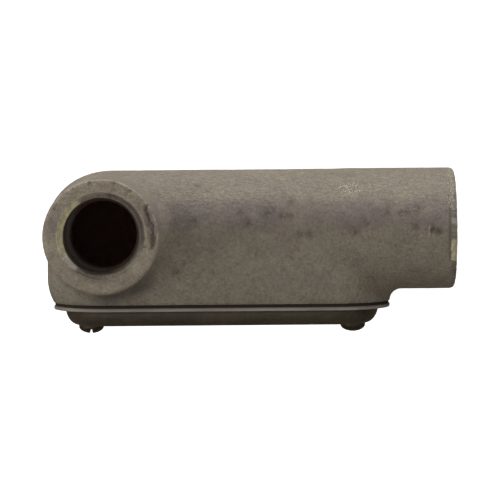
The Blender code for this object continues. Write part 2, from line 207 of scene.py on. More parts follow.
# Regions whose flaws need finer faces: least and greatest x, least and greatest y, and least z, in millimetres
CRATER_REGION = (99.5, 106.0, -2.8, 2.8, 15.0)
CHIP_REGION = (11.5, 20.0, -6.5, 12.5, SIDE_HUB_FACE - 2.0)
RING_EDGE_RADIUS = 15.5
RUN_RIM_START = 106.8

# Marks round the side hub, in degrees from the run hub's side towards the rounded back: the middle, half the span
# and the fade inside each end
# SHOULDER_SIDE and LIT_THREADS mark where the bores' painted shade is lighter, as painted light
SHOULDER_SIDE = (208, 80, 30)
LIT_THREADS = (305, 24, 14)
WIDE_MOUTH = (30, 60, 20)
MOUTH_LINE_RIGHT = (32, 46, 12)
MOUTH_LINE_LEFT = (172, 60, 12)
# LIT_BEVEL_LEFT and LIT_BEVEL_LOW: where the mouth's bare bevel carries a painted highlight
LIT_BEVEL_LEFT = (172, 62, 18.6)
LIT_BEVEL_LOW = (214, 26, 14)
DIM_BEVEL_RIGHT = (35, 65, 25)
DIM_BEVEL_LOW = (252, 30, 15)
# FACE_TOP: the span where the top edge's bare line is partly a painted highlight
FACE_TOP = (88, 34, 18)
CHIP_LIP = (CHIP_MIDDLE, CHIP_HALF + 2, 8)
STEP_SIDE = (252, 42, 22)
ROOT_SIDE = (290, 38, 22)

# Lines on and below the side hub's face: radius and width in millimetres
TOP_EDGE_LINE = (17.35, 0.24)
CHIP_LIP_LINE = (16.95, 0.35)
STEP_LINE = (13.8, 0.8)
ROOT_LINE = (20.4, 2.2)
MOUTH_LINE_WIDTH = 0.35
BEVEL_DEPTH = 2.4
THREADS_START = (2.0, 2.9)
CHAMBER_WALL_REACH = 0.35
# A bare wedge on that face, as middle and width along x and y, and the end of the knock's scar, as angle and radius
WEDGE_X = (13.8, 0.5)
WEDGE_Y = (-2.2, 2.0)
SCAR_END_ANGLE = (27, 7)
SCAR_END_LINE = (15.8, 0.6)

# Where a cool reflection is painted on the enamel along y, and where it is wrinkled: along y, along x, and in a band
# across x
REFLECTION_START = (-1, 4)
REFLECTION_END = (11, 8)
WRINKLED_BACK = (4, 12)
WRINKLED_RUN_HUB = (82, 95)
WRINKLED_BAND = (27, 11)
# Where the low side of the run hub stands in shade: along x, and downwards along y
SHADED_RUN_HUB = (88, 96)
SHADED_LOW_SIDE = (6, 14)

# Camera at the photograph's place, in millimetres but for the two angles
CAMERA_TARGET = Vector((45.13, -6.54, 0.0))
CAMERA_DISTANCE = 1000.0
CAMERA_TILT = math.radians(3.4)
CAMERA_ROLL = math.radians(0.48)
CAMERA_LENS = 228.0
CAMERA_SENSOR = 36.0

# The stage's size and the camera's sight, in metres, and the glow of floor and tent
TENT_RADIUS = 6.0
FLOOR_GLOW = 0.95
CAMERA_SIGHT = 20.0

# Bands of light round the run's axis: middle and half span in degrees, from straight up towards the rounded back,
# and the level. The first leans: it is brighter from the closed end than from the run hub's end
TOP_BAND = (-5.0, 38.0, 1.2)
BACK_BAND = (99.0, 12.0, 7.8)
BAND_FADE = 20.0
LEAN = (1.8, 0.2)
AMBIENT = 0.15

body_low, body_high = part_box("body_casting")
CROSSING = Vector(
    (
        body_high.x - RUN_HUB_FACE * MM,
        body_high.y - RUN_HUB_RADIUS * MM,
        body_low.z + RUN_HUB_RADIUS * MM,
    )
)
TO_FRAME = Matrix.Translation(CROSSING) @ Matrix.Scale(MM, 4)


# Distance fields

def slope(field, step):
    """The field's gradient as three arrays of unit length."""
    parts = np.gradient(field, step)
    length = np.sqrt(sum(part**2 for part in parts)) + 1e-9
    return [part / length for part in parts]


def fillet_union(a, b, radius, step):
    """Union with a round fillet, which fades out where the two surfaces run side by side."""
    facing = sum(u * v for u, v in zip(slope(a, step), slope(b, step)))
    reach = radius * np.clip(1 - facing, 0, 1)
    return np.maximum(reach, np.minimum(a, b)) - np.hypot(np.maximum(reach - a, 0), np.maximum(reach - b, 0))


def fillet_cut(a, b, radius, step):
    """a without b, with the inner corners rounded."""
    return -fillet_union(-a, b, radius, step)


def even_out(field, step):
    """Scales a field so that it changes by one millimetre for each millimetre, near its surface."""
    parts = np.gradient(field, step)
    length = np.sqrt(sum(part**2 for part in parts))
    return field / np.clip(length, 0.5, 4.0)


def wall_tuck(y, radius, rim_half_width):
    """How far the wall has curved in at height y, above the cover face."""
    full = radius - rim_half_width
    arc = (TUCK_HEIGHT**2 + full**2) / (2 * full)
    down = np.clip(COVER_FACE + TUCK_HEIGHT - y, 0, TUCK_HEIGHT + 1)
    return arc - np.sqrt(arc**2 - down**2)


def trough_field(x, y, z, wall, rim):
    """The long U-shaped trough with a half round back and round ends, or its hollow when inset by the wall."""
    radius = BODY_RADIUS - wall
    tuck = wall_tuck(y, radius, RIM_HALF_WIDTH - rim)
    height = END_ROUND_HEIGHT - wall
    tip = LEFT_CENTRE - radius
    share = np.clip((y - (radius - height)) / height, 0, 1)
    tip = END_ROUND_START - (END_ROUND_START - tip) * np.sqrt(1 - share**2)
    width = np.sqrt(np.maximum(radius**2 - np.clip(y, 0, radius) ** 2, 0))
    left = tip + width
    upright = (radius - tuck) / (RIM_HALF_WIDTH - rim)
    along = np.where(x < left, x - left, np.maximum(x - RIGHT_CENTRE, 0) * upright)
    return np.sqrt(along**2 + np.maximum(y, 0) ** 2 + z**2) - radius + tuck


def hub_field(axial, radial, face, radius, edge):
    """A round boss along its axis, from the origin to its face, with a rounded outer edge."""
    out = radial - radius + edge
    up = np.abs(axial - face / 2) - face / 2 + edge
    return np.hypot(np.maximum(out, 0), np.maximum(up, 0)) + np.minimum(np.maximum(out, up), 0) - edge


def grid(low, high, step):
    """Sparse coordinate arrays of a box."""
    axes = [np.arange(a, b + step, step, dtype=np.float32) for a, b in zip(low, high)]
    return np.meshgrid(*axes, indexing="ij", sparse=True)


def field_mesh(name, field, low, step):
    """A mesh of quads over the field's zero surface, in millimetres."""
    volume = openvdb.FloatGrid(FIELD_BAND)
    volume.copyFromArray(np.clip(field, -FIELD_BAND, FIELD_BAND).astype(np.float32))
    points, quads = volume.convertToQuads(0.0)
    mesh = bpy.data.meshes.new(name)
    mesh.from_pydata(points * step + np.array(low, np.float32), [], quads)
    return new_object(name, mesh)


def new_object(name, mesh):
    """An object in the scene that shows a mesh."""
    piece = bpy.data.objects.new(name, mesh)
    bpy.context.scene.collection.objects.link(piece)
    return piece


def box_mesh(name, low, high):
    """A closed box between two corners."""
    mesh = bpy.data.meshes.new(name)
    shape = bmesh.new()
    bmesh.ops.create_cube(shape, size=1.0)
    size = Vector(high) - Vector(low)
    centre = (Vector(high) + Vector(low)) / 2
    bmesh.ops.transform(shape, matrix=Matrix.Translation(centre) @ Matrix.Diagonal((*size, 1.0)), verts=shape.verts)
    shape.to_mesh(mesh)
    shape.free()
    return new_object(name, mesh)


def corners(mesh):
    """The mesh's vertices as an array."""
    points = np.empty(len(mesh.vertices) * 3, np.float32)
    mesh.vertices.foreach_get("co", points)
    return points.reshape(-1, 3).astype(float)


# Smooth masks from 0 to 1

def ease(value, low, high):
    """0 at low and 1 at high, held beyond them, with a smooth step between. It falls where low is the greater."""
    share = np.clip((value - low) / (high - low), 0, 1)
    return share * share * (3 - 2 * share)


def below_face(z, start, full):
    """A smooth step from 0 to 1 between two depths below the side hub's face."""
    return ease(z, SIDE_HUB_FACE - start, SIDE_HUB_FACE - full)


def sector(angle, middle, half, fade):
    """1 over a span of angles in degrees and 0 outside it, with a fade inside each end."""
    away = np.abs((angle - middle + 180) % 360 - 180)
    return ease(half - away, 0, fade)


def ridge(value, middle, width):
    """1 at the middle value, falling off on both sides."""
    return np.exp(-(((value - middle) / width) ** 2))


def spot(x, y, spot_x, spot_y, radius):
    """1 in the middle of a round spot, falling off outwards."""
    return ridge(np.hypot(x - spot_x, y - spot_y), 0, radius)


def near_line(x, y, start_x, start_y, end_x, end_y):
    """The distance from each point to a short line."""
    along_x, along_y = end_x - start_x, end_y - start_y
    share = np.clip(((x - start_x) * along_x + (y - start_y) * along_y) / (along_x**2 + along_y**2), 0, 1)
    return np.hypot(x - start_x - share * along_x, y - start_y - share * along_y)


def grain(points, size, shift=0.0):
    """Smooth noise from -1 to 1 with features of about size millimetres."""
    offset = Vector((shift, 2 * shift, 3 * shift))
    return np.array([noise.noise(Vector(point) / size + offset) for point in points])


# Turned and threaded shapes

def turned_mesh(name, heights, radius_at, steps, matrix=Matrix.Identity(4)):
    """A closed mesh round +Z, whose radius is a function of angle and height."""
    angles = np.arange(steps) * (2 * math.pi / steps)
    height, angle = np.meshgrid(np.array(heights, float), angles, indexing="ij")
    radius = radius_at(angle, height)
    points = np.stack([radius * np.cos(angle), radius * np.sin(angle), height], axis=-1).reshape(-1, 3)
    faces = []
    for i in range(len(heights) - 1):
        for j in range(steps):
            k = (j + 1) % steps
            faces.append((i * steps + j, i * steps + k, (i + 1) * steps + k, (i + 1) * steps + j))
    faces.append(tuple(range(steps - 1, -1, -1)))
    last = (len(heights) - 1) * steps
    faces.append(tuple(range(last, last + steps)))
    mesh = bpy.data.meshes.new(name)
    mesh.from_pydata(points, [], faces)
    mesh.transform(matrix)
    return new_object(name, mesh)


def thread_wave(angle, height, pitch):
    """0 at a right-hand thread's outer crest and 1 at its root."""
    turns = height / pitch - angle / (2 * math.pi)
    return 0.5 - 0.5 * np.cos(2 * math.pi * turns)


def bore_radius(face):
    """The radius of a hub's bore as a function of angle and height: mouth, taper thread, shoulder and throat."""
    thread_end = face - PIPE_LENGTH
    crest_end = PIPE_MAJOR_RADIUS - PIPE_TAPER * PIPE_LENGTH - PIPE_DEPTH

    def radius_at(angle, height):
        depth = face - height
        major = PIPE_MAJOR_RADIUS - PIPE_TAPER * depth
        fade = np.clip((height - thread_end) / PIPE_PITCH, 0, 1)
        thread = major - PIPE_DEPTH + PIPE_DEPTH * fade * (1 - thread_wave(angle, height, PIPE_PITCH))
        mouth = MOUTH_RADIUS - MOUTH_SLOPE * depth
        share = np.clip((thread_end - height) / THROAT_LIP, 0, 1)
        lip = THROAT_RADIUS + (crest_end - THROAT_RADIUS) * (1 - np.sqrt(1 - (1 - share) ** 2))
        return np.where(height >= thread_end, np.maximum(thread, mouth), lip)

    return radius_at


def bore_cutter(name, face, inner_end, shift, matrix=Matrix.Identity(4)):
    """A bore's inside, whose thread stands a little off its cored throat."""
    thread_end = face - PIPE_LENGTH
    heights = list(np.arange(face + 1.5, thread_end, -PIPE_PITCH / 10))
    heights += list(thread_end - THROAT_LIP * np.array(THROAT_LIP_SHARES))
    heights += [inner_end]
    cutter = turned_mesh(name, sorted(heights), bore_radius(face), BORE_SIDES)
    points = corners(cutter.data)
    share = ease(points[:, 2], thread_end - THROAT_LIP, thread_end)
    points[:, :2] += share[:, None] * np.array(shift)
    cutter.data.vertices.foreach_set("co", points.astype(np.float32).ravel())
    cutter.data.transform(matrix)
    return cutter


def subtract(piece, cutter, solver="MANIFOLD"):
    """Cuts one mesh out of another for good."""
    modifier = piece.modifiers.new("cut", "BOOLEAN")
    modifier.operation = "DIFFERENCE"
    modifier.solver = solver
    modifier.object = cutter
    graph = bpy.context.evaluated_depsgraph_get()
    cut = bpy.data.meshes.new_from_object(piece.evaluated_get(graph))
    piece.modifiers.clear()
    piece.data = cut
    bpy.data.objects.remove(cutter)


ALONG_RUN = Matrix.Rotation(math.pi / 2, 4, "Y")
OUT_OF_COVER = Matrix.Rotation(math.pi / 2, 4, "X")


# The casting

def outer_form():
    """The outside of the casting: the trough and both hubs, joined by fillets."""
    step = OUTER_STEP
    x, y, z = grid(*OUTER_BOX, step)
    trough = even_out(trough_field(x, y, z, 0.0, 0.0), step)
    run_start = RIGHT_CENTRE - RUN_HUB_BLEND
    slimming = RUN_HUB_SLIMMING * np.clip((RUN_HUB_SLIM_END - x) / RUN_HUB_BLEND, 0, 1)
    run = hub_field(
        x - run_start, np.sqrt(y**2 + z**2) + slimming, RUN_HUB_FACE - run_start, RUN_HUB_RADIUS, RUN_HUB_EDGE
    )
    shift_x, shift_y = SIDE_HUB_SHIFT
    drafted = np.sqrt((x - shift_x) ** 2 + (y - shift_y) ** 2) - SIDE_HUB_DRAFT * (SIDE_HUB_FACE - z)
    side = hub_field(z, drafted, SIDE_HUB_FACE, SIDE_HUB_RADIUS, SIDE_HUB_EDGE)
    body = fillet_union(trough, run + 0 * trough, RUN_HUB_FILLET, step)
    body = fillet_union(body, side + 0 * trough, SIDE_HUB_FILLET, step)
    return field_mesh("casting", body, OUTER_BOX[0], step)


def chamber():
    """The cored hollow with its two screw lugs, open past the cover face."""
    step = CHAMBER_STEP
    low = CHAMBER_BOX[0]
    x, y, z = grid(*CHAMBER_BOX, step)
    hollow = even_out(trough_field(x, y, z, WALL, RIM_WIDTH), step)
    top = COVER_FACE + LUG_HEIGHT
    for screw_x, outward in zip(SCREW_X, (-1, 1)):
        beyond = np.where((x - screw_x) * outward > 0, 0.0, x - screw_x)
        round_part = np.sqrt(beyond**2 + z**2) - LUG_RADIUS
        lug = np.maximum(round_part, y - top) + 0 * hollow
        hollow = fillet_cut(hollow, lug, LUG_FILLET, step)
    floor = low[1] + 2 * step
    return field_mesh("chamber", np.maximum(hollow, floor - y), low, step)


def chip(points):
    """The knocked edge of the side hub's face: how deep it is at each point and where its torn line runs."""
    x, y, _ = points.T
    radial, angle = np.hypot(x, y), np.degrees(np.arctan2(y, x))
    across = np.clip(1 - ((angle - CHIP_MIDDLE) / CHIP_HALF) ** 2, 0, 1)
    torn = CHIP_RADIUS - 0.65 * across + 0.9 * grain(points, 1.2, 2.0) + 0.5 * grain(points, 0.55, 6.0)
    inner = CHIP_RADIUS - 0.4 - 2.3 * across + 0.3 * grain(points, 1.6, 7.0)
    slope_down = np.clip((radial - inner) / (torn - inner), 0, 1)
    past_line = 1 - 0.8 * ease(radial, torn + 0.1, torn + 0.5)
    ends = ease(across, 0, 0.3)
    return slope_down * past_line * ends, ridge(radial, torn, TORN_WIDTH) * ends


def refine(piece, chosen):
    """Splits the edges whose middle is in a chosen region, so that small flaws get finer faces."""
    shape = bmesh.new()
    shape.from_mesh(piece.data)
    edges = [edge for edge in shape.edges if chosen(*((edge.verts[0].co + edge.verts[1].co) / 2))]
    bmesh.ops.subdivide_edges(shape, edges=edges, cuts=1, use_grid_fill=True)
    shape.to_mesh(piece.data)
    shape.free()
    piece.data.update()


def in_region(x, y, z, region):
    """Whether a point is in one of the regions named above."""
    low_x, high_x, low_y, high_y, low_z = region
    return low_x < x < high_x and low_y < y < high_y and z > low_z


def crater_or_chip(x, y, z):
    """Where the smallest flaws are, which need their faces split twice."""
    return in_region(x, y, z, CRATER_REGION) or in_region(x, y, z, CHIP_REGION)


def flawed(x, y, z):
    """Where the rims and the flaws are, which need their faces split once."""
    ring_edge = z > SIDE_HUB_FACE - 2.0 and math.hypot(x, y) > RING_EDGE_RADIUS
    return ring_edge or x > RUN_RIM_START or crater_or_chip(x, y, z)


def roughen(piece):
    """The uneven skin of a sand casting, with its flaws and knocks, pushed along the normals."""
    mesh = piece.data
    points = corners(mesh)
    normals = np.array([vertex.normal for vertex in mesh.vertices])
    x, y, z = points.T
    upper = z > UPPER_SIDE[1]
    push = sum(height * grain(points, size, shift) for size, height, shift in SKIN_WAVES) - SKIN_SET_BACK
    for *place, depth in DENTS:
        push -= depth * spot(x, y, *place) * upper
    for *line, height in BURRS:
        push += height * ridge(near_line(x, y, *line), 0, BURR_WIDTH) * upper
    push -= RIM_WEAR_DEPTH * ease(x, *RIM_WORN) * ease(grain(points, 1.6, 9.0), -0.2, 0.4)
    push -= RIM_GROOVE_DEPTH * ridge(x, RIM_GROOVE, RIM_GROOVE_WIDTH) * ease(y, *RIM_GROOVE_START) * upper
    knocked, torn_line = chip(points)
    lip = ease(np.hypot(x, y), CHIP_RADIUS + 0.4, CHIP_RADIUS + 0.9) * ease(knocked, 0.02, 0.1)
    at_edge = below_face(z, 4, 1)
    push += LIP_RAGGEDNESS * lip * at_edge * grain(points, 0.9, 11.0)
    points += normals * push[:, None]
    points[:, 2] -= (CHIP_DEPTH * knocked + TORN_DEPTH * torn_line) * at_edge
    low, high = [(corner - CROSSING) / MM for corner in (body_low, body_high)]
    points = np.clip(points, low, high)
    mesh.vertices.foreach_set("co", points.astype(np.float32).ravel())
    mesh.update()


def tapped_radius(angle, height):
    """The radius of a tapped hole as a function of angle and height."""
    return SCREW_RADIUS + TAP_CLEARANCE - SCREW_DEPTH * thread_wave(angle, height, SCREW_PITCH)


def casting():
    """The whole casting: its rough outside, then the machined faces, bores and tapped holes."""
    piece = outer_form()
    refine(piece, flawed)
    refine(piece, crater_or_chip)
    roughen(piece)
    subtract(piece, box_mesh("cover_face_cut", *CUT_BOX))
    subtract(piece, chamber())
    subtract(piece, bore_cutter("side_bore", SIDE_HUB_FACE, SIDE_BORE_END, THREAD_SHIFT))
    subtract(piece, bore_cutter("run_bore", RUN_HUB_FACE, RUN_BORE_END, (0, 0), ALONG_RUN))
    heights = np.arange(-COVER_FACE - TAPPED_DEPTH, -COVER_FACE + 1.0, SCREW_PITCH / 8)
    for screw_x in SCREW_X:
        matrix = Matrix.Translation((screw_x, 0, 0)) @ OUT_OF_COVER
        subtract(piece, turned_mesh("tapped_hole", heights, tapped_radius, TAP_SIDES, matrix))
    piece.name = "cast_body"
    return piece


# Marks on the casting

class Skin:
    """The casting's vertices, with the measures and the masks that several of its marks share."""

    def __init__(self, points):
        self.points = points
        self.x, self.y, self.z = x, y, z = points.T
        self.upper = ease(z, *UPPER_SIDE)
        self.wander = grain(points, 1.5, 3.0)
        self.angle = np.degrees(np.arctan2(y, x))
        self.side_radius, self.run_radius = np.hypot(x, y), np.hypot(y, z)

        mouth_radius = np.hypot(x - THREAD_SHIFT[0], y - THREAD_SHIFT[1])
        in_side_bore = (mouth_radius < MOUTH_RADIUS + 0.05) & (z > 0)
        in_run_bore = (self.run_radius < PIPE_MAJOR_RADIUS + 0.05) & (x > RIGHT_CENTRE)
        self.run_depth = np.where(in_run_bore, RUN_HUB_FACE - x, 0)
        self.depth = np.maximum(np.where(in_side_bore, SIDE_HUB_FACE - z, 0), self.run_depth)

        self.ring = below_face(z, 1.4, 0.5)
        self.bevel = ease(self.depth, 0.02, 0.2) * ease(BEVEL_DEPTH - self.depth, 0, 0.6) * (z > 20)
        # the lit side of the mouth's bevel, where the bare bevel carries a painted highlight
        lit = np.maximum(0.95 * sector(self.angle, *LIT_BEVEL_LEFT), sector(self.angle, *LIT_BEVEL_LOW))
        self.lit_bevel = self.bevel * lit
        line_radius = MOUTH_RADIUS + 0.1 + 0.35 * sector(self.angle, *WIDE_MOUTH)
        self.mouth_line = ridge(mouth_radius, line_radius, MOUTH_LINE_WIDTH) * below_face(z, 0.9, 0.4)
        self.knocked, self.torn_line = chip(points)
        self.chip_lip = ridge(self.side_radius, *CHIP_LIP_LINE) * sector(self.angle, *CHIP_LIP)


def painted_shade_inside(skin):
    """Painted shade in the bores, deeper with depth, and over the whole chamber. It is lighter, as painted light, on
    the throat's shoulder on one side, on the lit threads and on the run bore's thread crests.
    """
    depth = skin.depth
    threads = ease(depth, *THREADS_START)
    shoulder = sector(skin.angle, *SHOULDER_SIDE)
    beside_shoulder = 0.3 * (ease(depth, 5, 8) - ease(depth, PIPE_LENGTH - 0.6, PIPE_LENGTH))
    beside_shoulder += 0.5 * ease(depth, PIPE_LENGTH + 0.9, PIPE_LENGTH + 1.9)
    elsewhere = 0.5 * ease(depth, PIPE_LENGTH - 1, PIPE_LENGTH + 0.6)
    dark = 0.5 * threads + shoulder * beside_shoulder + (1 - shoulder) * elsewhere
    dark -= 0.17 * sector(skin.angle, *LIT_THREADS) * ease(9 - depth, 0, 3) * threads

    run_threads = ease(skin.run_depth, 1.2, 2.0) * ease(PIPE_LENGTH - skin.run_depth, 0, 1)
    crest = np.clip((PIPE_MAJOR_RADIUS - PIPE_TAPER * skin.run_depth - skin.run_radius) / PIPE_DEPTH, 0, 1)
    dark += run_threads * (0.3 - 0.5 * crest)
    chamber_wall = trough_field(skin.x, skin.y, skin.z, WALL, RIM_WIDTH) < CHAMBER_WALL_REACH
    return np.maximum(dark, chamber_wall)


def machined_faces(skin):
    """The flat faces of both hubs."""
    run_face = ease(skin.x, RUN_HUB_FACE - 0.5, RUN_HUB_FACE - 0.1) * ease(RUN_FACE_RADIUS - skin.run_radius, 0, 0.6)
    return np.maximum(skin.ring, run_face)


def rim_marks(skin):
    """Bare metal and brown dirt on the run hub's rim: in set patches above, and scattered elsewhere."""
    bare, dirt = np.zeros(len(skin.points)), np.zeros(len(skin.points))
    for middle, half, amount in RIM_PATCHES:
        near = half - np.abs(skin.y + 1.1 * skin.wander - middle)
        share = ease(near, -0.4, 0.8) * (0.85 + 0.5 * skin.wander) * skin.upper
        bare = np.maximum(bare, amount * share)
        dirt = np.maximum(dirt, -amount * share)
    scattered = ease(grain(skin.points, 3.0, 4.0), 0.2, 0.45) * (1 - skin.upper)
    at_rim = ease(skin.x + 0.4 * skin.wander, *RIM_PATCHED)
    at_rim = at_rim * ease(skin.run_radius + 0.6 * skin.wander, *RIM_PATCH_RADII)
    return at_rim * np.maximum(bare, scattered), at_rim * dirt


def worn_edges(skin):
    """Bare metal along the side hub's mouth and face, and on the crater's burrs. The mouth's bevel is bare only on its
    lit side, as a painted highlight, and the face's top edge is partly a painted highlight.
    """
    right, left = sector(skin.angle, *MOUTH_LINE_RIGHT), sector(skin.angle, *MOUTH_LINE_LEFT)
    # the face's top edge towards the light: partly worn bare, partly a painted highlight
    top_edge = ridge(skin.side_radius, *TOP_EDGE_LINE) * sector(skin.angle, *FACE_TOP) * skin.ring
    lip = skin.chip_lip * below_face(skin.z, 3, 1.5) * ease(skin.wander, -0.5, 0.1)
    wedge = ridge(skin.x, *WEDGE_X) * ridge(skin.y, *WEDGE_Y) * skin.ring
    marks = [
        skin.mouth_line * np.maximum(0.62 * right, 0.8 * left),
        skin.lit_bevel,
        0.58 * top_edge * ease(grain(skin.points, 2.6, 8.0), -0.3, 0.2),
        0.75 * lip,
        0.55 * wedge,
    ]
    for *line, _ in BURRS:
        burr = ridge(near_line(skin.x, skin.y, *line), 0, BURR_WIDTH) * ease(skin.wander, -0.6, 0.1)
        marks.append(0.85 * burr * skin.upper)
    return np.maximum.reduce(marks)


def stains(skin):
    """Brown stains on the upper side."""
    total = np.zeros(len(skin.points))
    for spot_x, spot_y, radius in STAINS:
        total += spot(skin.x, skin.y, spot_x, spot_y, STAIN_SPREAD * radius) * skin.upper
    return total


def dark_hollows(skin):
    """Darker in the groove behind the run hub's rim and in the dents, and painted shade along the knocked edge's scar
    and torn line.
    """
    groove = 0.8 * ridge(skin.x, RIM_GROOVE, RIM_DIRT_WIDTH) * skin.upper
    groove = groove * ease(skin.y, *RIM_DIRT_START) * ease(skin.y, *RIM_DIRT_END)
    dents = [spot(skin.x, skin.y, *place) * skin.upper for *place, _ in DENTS]
    # painted shade in the knocked edge's scar and along its torn line
    scar = ease(skin.knocked, 0.1, 0.9) * (0.2 + 0.4 * ease(skin.wander, -0.3, 0.3)) * (1 - skin.chip_lip)
    scar_end = 0.5 * ridge(skin.angle, *SCAR_END_ANGLE) * ridge(skin.side_radius, *SCAR_END_LINE)
    edge = np.maximum.reduce([skin.torn_line, scar, scar_end]) * below_face(skin.z, 2.0, 1.2)
    return np.maximum.reduce([groove, edge, *dents])


def fleck_patches(skin):
    """Loose paint on the rounded back and on the run hub's rim."""
    x, y, half_length, half_width = FLECK_PATCH
    away = np.hypot((skin.x - x) / half_length, (skin.y - y) / half_width)
    back = ease(1.2 - away + 0.35 * skin.wander, 0, 0.6) * skin.upper
    rim = ease(skin.x + 0.4 * skin.wander, *RIM_FLECKED) * ease(skin.run_radius, *RIM_FLECK_RADII)
    return np.maximum(back, 0.6 * rim * ease(skin.y, 5, 7) * ease(skin.z, 2, 6))


def yellowed(skin):
    """Where bare metal is yellowish: low on the run hub's rim, and along the side hub's mouth but for its low side."""
    mouth = np.maximum(skin.bevel, skin.mouth_line * np.where(skin.x > 0, 0.35, 1.0))
    return np.maximum(ease(-skin.y, 2, 4) * (skin.x > 100), mouth * ease(skin.y, -6.5, -3.5))


def shade(skin):
    """Parts that stand in shade: in the mouth, at the side hub's root and low on the run hub."""
    dim = np.maximum(sector(skin.angle, *DIM_BEVEL_RIGHT), 0.45 * sector(skin.angle, *DIM_BEVEL_LOW))
    step = 0.6 * ridge(skin.side_radius, *STEP_LINE) * sector(skin.angle, *STEP_SIDE) * below_face(skin.z, 2.0, 1.5)
    root = 0.8 * ridge(skin.side_radius, *ROOT_LINE) * sector(skin.angle, *ROOT_SIDE) * ease(skin.z, 10, 16)
    low_run_hub = 0.16 * ease(skin.x, *SHADED_RUN_HUB) * ease(-skin.y, *SHADED_LOW_SIDE)
    return np.maximum.reduce([skin.bevel * dim, step, root]) + low_run_hub


def wrinkles(skin):
    """Where the enamel is wrinkled: on the rounded back, the run hub and a band beside the side hub."""
    back, run_hub = ease(skin.y, *WRINKLED_BACK), ease(skin.x, *WRINKLED_RUN_HUB)
    return np.maximum.reduce([back, 0.7 * run_hub, 0.5 * ridge(skin.x, *WRINKLED_BAND)])


def paint(piece):
    """Marks each vertex for the shader's layers, from 0 to 1."""
    skin = Skin(corners(piece.data))
    rim_bare, rim_dirt = rim_marks(skin)
    marks = {
        "inside": painted_shade_inside(skin),
        "ring": machined_faces(skin),
        "wear": np.maximum(rim_bare, worn_edges(skin)),
        "yellow": yellowed(skin),
        "flecks": fleck_patches(skin),
        "stain": np.maximum(stains(skin), rim_dirt),
        "groove": dark_hollows(skin),
        "cool_reflection": ease(skin.y, *REFLECTION_START) * ease(skin.y, *REFLECTION_END) * skin.upper,
        "shaded": shade(skin),
        "wrinkle": wrinkles(skin),
        "bevel_highlight": skin.lit_bevel * (0.4 + 0.6 * ease(-skin.y, 3, 6)),
    }
    for name, values in marks.items():
        layer = piece.data.attributes.new(name, "FLOAT", "POINT")
        layer.data.foreach_set("value", np.clip(values, 0, 1).astype(np.float32))


def smooth(piece, sharp_angle):
    """Shades a piece smooth except at edges sharper than an angle in degrees."""
    piece.data.shade_smooth()
    piece.data.set_sharp_from_angle(angle=math.radians(sharp_angle))


def settle(piece, sharp_angle):
    """Moves a shape from millimetres round the hub axes to the frame, and shades it."""
    piece.data.transform(TO_FRAME)
    smooth(piece, sharp_angle)
    return piece


# Screws and gasket

def screw_radius(angle, height):
    """The radius of a screw as a function of angle and height: point, threaded shank and round head."""
    point = np.clip((height + SCREW_LENGTH) / SCREW_POINT, SCREW_POINT_SHARE, 1.0)
    thread = (SCREW_RADIUS - SCREW_DEPTH * thread_wave(angle, height, SCREW_PITCH)) * point
    dome = np.clip((height - HEAD_RIM) / (HEAD_HEIGHT - HEAD_RIM), 0, 1)
    head = HEAD_RADIUS * np.sqrt(1 - dome**2)
    head = np.where(height < HEAD_UNDERCUT / 2, HEAD_RADIUS - HEAD_UNDERCUT, head)
    return np.where(height < -0.005, thread, head)


def cover_screw(name, screw_x, slot_turn):
    """A slotted round-head screw with its thread."""
    shank = np.arange(-SCREW_LENGTH, -0.02, SCREW_PITCH / 8)
    crown = np.sin(np.linspace(0, math.pi / 2, HEAD_STEPS)[1:-1])
    heights = [*shank, -0.01, 0.0, HEAD_UNDERCUT, HEAD_RIM, *(HEAD_RIM + (HEAD_HEIGHT - HEAD_RIM) * crown)]
    piece = turned_mesh(name, heights, screw_radius, SCREW_SIDES)
    low, high = (-SLOT_HALF_WIDTH, -SLOT_HALF_LENGTH, SLOT_FLOOR), (SLOT_HALF_WIDTH, SLOT_HALF_LENGTH, SLOT_TOP)
    slot = box_mesh("slot", low, high)
    slot.data.transform(Matrix.Rotation(slot_turn, 4, "Z"))
    subtract(piece, slot, "EXACT")
    piece.data.transform(Matrix.Translation((screw_x, SCREW_SEAT, 0)) @ OUT_OF_COVER)
    return settle(piece, SHARP_SCREW)


def squeezed_gasket():
    """The gasket, filling the seam between the casting and the cover."""
    piece = new_object("squeezed_gasket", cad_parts["gasket"].data.copy())
    low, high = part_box("gasket")
    middle = (low.y + high.y) / 2
    points = corners(piece.data)
    points[:, 1] += np.where(points[:, 1] > middle, SEAM_CLEARANCE, -SEAM_CLEARANCE) * MM
    piece.data.vertices.foreach_set("co", points.astype(np.float32).ravel())
    return piece


# Materials, whose colours are red, green, blue and alpha

GRAIN_TINT = (0.95, 0.98, 1.09)
GRAIN_CONTRAST = 0.35
# The reach of each material's bumps, in millimetres
CASTING_BUMP = 0.42
COVER_BUMP = 0.06
SCREW_BUMP = 0.04
RUBBER_BUMP = 0.03

WARM = (1.0, 0.92, 0.8, 1.0)
WHITE = (1, 1, 1, 1)

ENAMEL = (0.156, 0.138, 0.105, 1)
BROWN_ENAMEL = (0.126, 0.107, 0.086, 1)
# Painted highlights: fine pale glints on the wrinkled enamel
GLINT_SPECK = (0.29, 0.26, 0.205, 1)
# A painted reflection: the cool purple tint of the band above the middle of the rounded back
REFLECTION_TINT = (0.79, 0.745, 0.885, 1)
CLEAN_FACE_TINT = (1.31, 1.29, 1.26, 1)
SOILED_FACE_TINT = (1.03, 0.98, 0.93, 1)
# Stains and darker hollows, and painted shade along the knocked edge
DIRT_AND_SHADE = (0.045, 0.036, 0.028, 1)
FLECK_GAP = (0.07, 0.058, 0.038, 1)
PALE_FLECK = (0.46, 0.42, 0.32, 1)
SHADE_TINT = (0.40, 0.40, 0.44, 1)
BARE_IRON = (0.27, 0.235, 0.20, 1)
YELLOWED_IRON = (0.38, 0.335, 0.21, 1)
